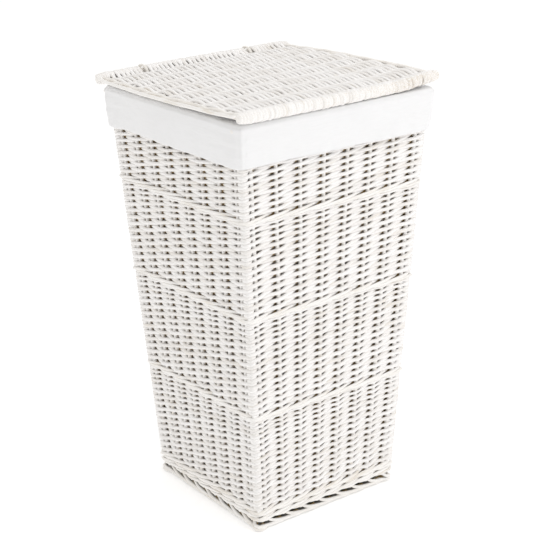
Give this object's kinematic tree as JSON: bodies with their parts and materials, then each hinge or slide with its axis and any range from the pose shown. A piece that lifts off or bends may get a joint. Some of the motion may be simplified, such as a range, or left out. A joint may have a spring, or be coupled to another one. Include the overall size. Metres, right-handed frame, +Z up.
{
  "type": "laundry basket",
  "caption": "Tall square woven willow laundry basket, tapering to its foot, with a hinged woven lid and a cotton liner folded over the rim.",
  "frame": {"origin": "middle of the basket's footprint, on the floor", "axes": "+Z up, -Y is the front, +Y is the hinged back, +X is the right-hand side seen from the front"},
  "size_m": [0.3576, 0.3594, 0.6314],
  "materials": {
    "white_willow": "thin white paint on willow, slightly glossy",
    "cream_willow": "white paint worn to cream",
    "stake_willow": "white painted stakes",
    "loop_willow": "white painted split willow",
    "cotton": "plain white woven cotton",
    "elastic": "white covered elastic"
  },
  "bodies": {
    "basket": {"base_edge_stick_back": "stake_willow", "base_edge_stick_front": "stake_willow", "base_sticks": "stake_willow", "base_weave": "white_willow", "bottom_wale": "cream_willow", "cuff_elastic": "elastic", "foot_border": "cream_willow", "hinge_loop_left": "loop_willow", "hinge_loop_right": "loop_willow", "liner_bag": "cotton", "liner_cuff": "cotton", "rim_border": "white_willow", "stake_back_1": "stake_willow", "stake_back_2": "stake_willow", "stake_back_3": "stake_willow", "stake_back_4": "stake_willow", "stake_back_5": "stake_willow", "stake_back_6": "stake_willow", "stake_back_7": "stake_willow", "stake_back_8": "stake_willow", "stake_front_1": "stake_willow", "stake_front_2": "stake_willow", "stake_front_3": "stake_willow", "stake_front_4": "stake_willow", "stake_front_5": "stake_willow", "stake_front_6": "stake_willow", "stake_front_7": "stake_willow", "stake_front_8": "stake_willow", "stake_left_1": "stake_willow", "stake_left_2": "stake_willow", "stake_left_3": "stake_willow", "stake_left_4": "stake_willow", "stake_left_5": "stake_willow", "stake_left_6": "stake_willow", "stake_left_7": "stake_willow", "stake_left_8": "stake_willow", "stake_right_1": "stake_willow", "stake_right_2": "stake_willow", "stake_right_3": "stake_willow", "stake_right_4": "stake_willow", "stake_right_5": "stake_willow", "stake_right_6": "stake_willow", "stake_right_7": "stake_willow", "stake_right_8": "stake_willow", "wale_1": "cream_willow", "wale_2": "cream_willow", "wale_3": "cream_willow", "weave_section_1": "white_willow", "weave_section_2": "white_willow", "weave_section_3": "white_willow", "weave_section_4": "white_willow"},
    "lid": {"lid_border_left": "white_willow", "lid_border_right": "white_willow", "lid_edge_stick_back": "white_willow", "lid_edge_stick_front": "white_willow", "lid_sticks": "stake_willow", "lid_weave": "white_willow"}
  },
  "joints": [
    {"name": "lid_hinge", "type": "hinge", "parent": "basket", "child": "lid", "pos_m": [-0.00673, 0.1651, 0.6226], "axis": [-0.9994, -0.0349, 0], "range_deg": [0, 110]}
  ]
}
